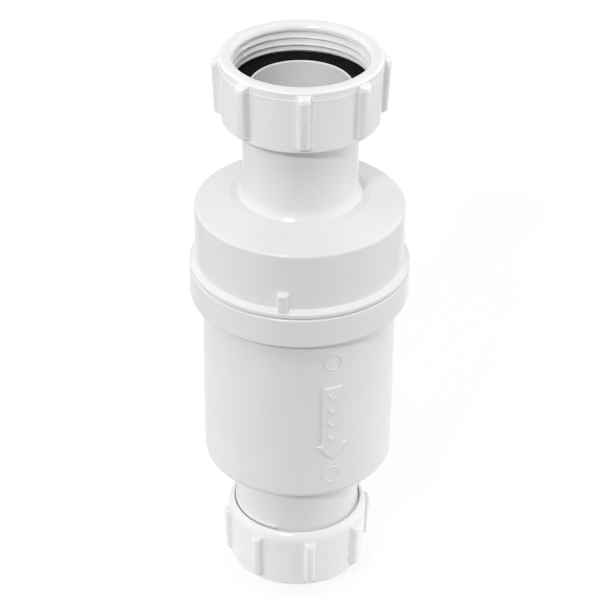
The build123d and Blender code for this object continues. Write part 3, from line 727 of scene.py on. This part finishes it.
studio = {
    "floorHeight": -0.0075, "floorSize": 6.0, "sheetGap": 0.0001, "sheetRadius": 0.16,
    "cardHalfWidth": 0.145, "cardFront": 0.03, "cardBack": 2.0,
    "worldLight": 0.04, "cameraShare": 0.75, "aim": (0, 0, 0.095), "lampDistance": 2.2,
    "boards": {  # base colour, glow for the camera, glow for glossy rays
        "floorBoard": ("#959595", 1.3, 0.6),
        "sheetBoard": ("#bcbcbc", 1.185, 1.07),
        "cardBoard": ("#bcbcbc", 1.185, 0.98)},
    "lamps": {  # azimuth from the front towards +X, elevation, width, height, power
        "keyLeft": (-20.5, 38, 0.17, 0.17, 17.5),
        "keyFront": (-3, 38.5, 0.17, 0.17, 1.6),
        "frontHigh": (4, 64, 0.5, 0.5, 3.6),
        "frontLow": (0, 6, 1.8, 0.6, 2.6),
        "sideLeft": (-88, 4, 1.2, 0.6, 13.6),
        "sideRight": (88, 4, 1.2, 0.6, 26.6),
        "highLeft": (-60, 50, 1.0, 1.0, 10.8),
        "highRight": (60, 50, 1.0, 1.0, 5.6),
        "rearLeft": (-125, 18, 1.3, 1.3, 11.0),
        "rearRight": (125, 18, 1.3, 1.3, 14.9),
        "top": (180, 80, 1.5, 1.5, 9.8)}}
aim = Vector(studio["aim"])
for name, (azimuth, elevation, width, height, power) in studio["lamps"].items():
    light = bpy.data.lights.new(name, "AREA")
    light.shape = "RECTANGLE"
    light.size, light.size_y = width, height
    light.energy = power
    holder = bpy.data.objects.new(name, light)
    side, front, rise = sin(radians(azimuth)), -cos(radians(azimuth)), radians(elevation)
    holder.location = aim + Vector((side * cos(rise), front * cos(rise), sin(rise))) * studio["lampDistance"]
    holder.rotation_euler = (aim - holder.location).to_track_quat("-Z", "Y").to_euler()
    holder.visible_glossy = name == "keyLeft"  # only this key leaves glints
    bpy.context.scene.collection.objects.link(holder)

# The world is white to camera, glossy and transmission rays, and lights the object only faintly.
world = bpy.data.worlds.new("whiteStudio")
bpy.context.scene.world = world
world.use_nodes = True
background = world.node_tree.nodes["Background"]
lightPath = addNode(world, "ShaderNodeLightPath").outputs
seen = addNode(world, "ShaderNodeMath", None, {0: lightPath["Is Camera Ray"], 1: lightPath["Is Glossy Ray"]},
               operation="MAXIMUM").outputs[0]
seen = addNode(world, "ShaderNodeMath", None, {0: seen, 1: lightPath["Is Transmission Ray"]},
               operation="MAXIMUM").outputs[0]
strength = addNode(world, "ShaderNodeMapRange", {"To Min": studio["worldLight"], "To Max": 1},
                   {"Value": seen}).outputs[0]
world.node_tree.links.new(strength, background.inputs["Strength"])
background.inputs["Color"].default_value = (1, 1, 1, 1)


def whiteBoard(name):
    # The camera sees a board mostly by its own glow, so that the object's shadow on it stays faint, and
    # glossy rays see each board at a strength of its own.
    colour, cameraGlow, glossyGlow = studio["boards"][name]
    board = bpy.data.materials.new(name)
    board.use_nodes = True
    surface = board.node_tree.nodes["Principled BSDF"]
    surface.inputs["Base Color"].default_value = fromHex(colour)
    surface.inputs["Roughness"].default_value = 0.9
    path = addNode(board, "ShaderNodeLightPath").outputs
    share = addNode(board, "ShaderNodeMath", {1: studio["cameraShare"]},
                    {0: path["Is Camera Ray"], 2: path["Is Glossy Ray"]}, operation="MULTIPLY_ADD").outputs[0]
    strength = addNode(board, "ShaderNodeMath", {1: cameraGlow - glossyGlow, 2: glossyGlow},
                       {0: path["Is Camera Ray"]}, operation="MULTIPLY_ADD").outputs[0]
    glow = addNode(board, "ShaderNodeEmission", {"Color": (1, 1, 1, 1)}, {"Strength": strength}).outputs[0]
    mixed = addNode(board, "ShaderNodeMixShader", None, {0: share, 1: surface.outputs[0], 2: glow}).outputs[0]
    board.node_tree.links.new(mixed, board.node_tree.nodes["Material Output"].inputs["Surface"])
    return board


def studioSheet(name, corners, layer, material):
    # Layer 0 is the table, and each next layer lies just above it.
    height = studio["floorHeight"] + layer * studio["sheetGap"]
    mesh = bpy.data.meshes.new(name)
    mesh.from_pydata([(x, y, height) for x, y in corners], [], [range(len(corners))])
    mesh.materials.append(material)
    sheet = bpy.data.objects.new(name, mesh)
    bpy.context.scene.collection.objects.link(sheet)


side = studio["floorSize"] / 2
studioSheet("studioFloor", [(-side, -side), (side, -side), (side, side), (-side, side)], 0,
            whiteBoard("floorBoard"))
studioSheet("whiteSheet", arc((0, 0), studio["sheetRadius"], 0, 355, 72), 1, whiteBoard("sheetBoard"))
side, front, back = studio["cardHalfWidth"], studio["cardFront"], studio["cardBack"]
studioSheet("backCard", [(-side, front), (side, front), (side, back), (-side, back)], 2,
            whiteBoard("cardBoard"))

view = {"elevation": 32.697, "distance": 0.66823, "target": (0.00026, 0, 0.09476), "lens": 130.81,
        "roll": 0.574}
camera = bpy.data.objects.new("camera", bpy.data.cameras.new("camera"))
camera.data.lens = view["lens"]
camera.data.sensor_width = 36
camera.data.clip_start = 0.01
away = Vector((0, -cos(radians(view["elevation"])), sin(radians(view["elevation"]))))
camera.location = Vector(view["target"]) + away * view["distance"]
camera.rotation_mode = "QUATERNION"
camera.rotation_quaternion = (-away).to_track_quat("-Z", "Y") @ Quaternion((0, 0, 1), radians(view["roll"]))
bpy.context.scene.collection.objects.link(camera)
bpy.context.scene.camera = camera
bpy.context.scene.view_settings.view_transform = "Standard"

print("scene ready")
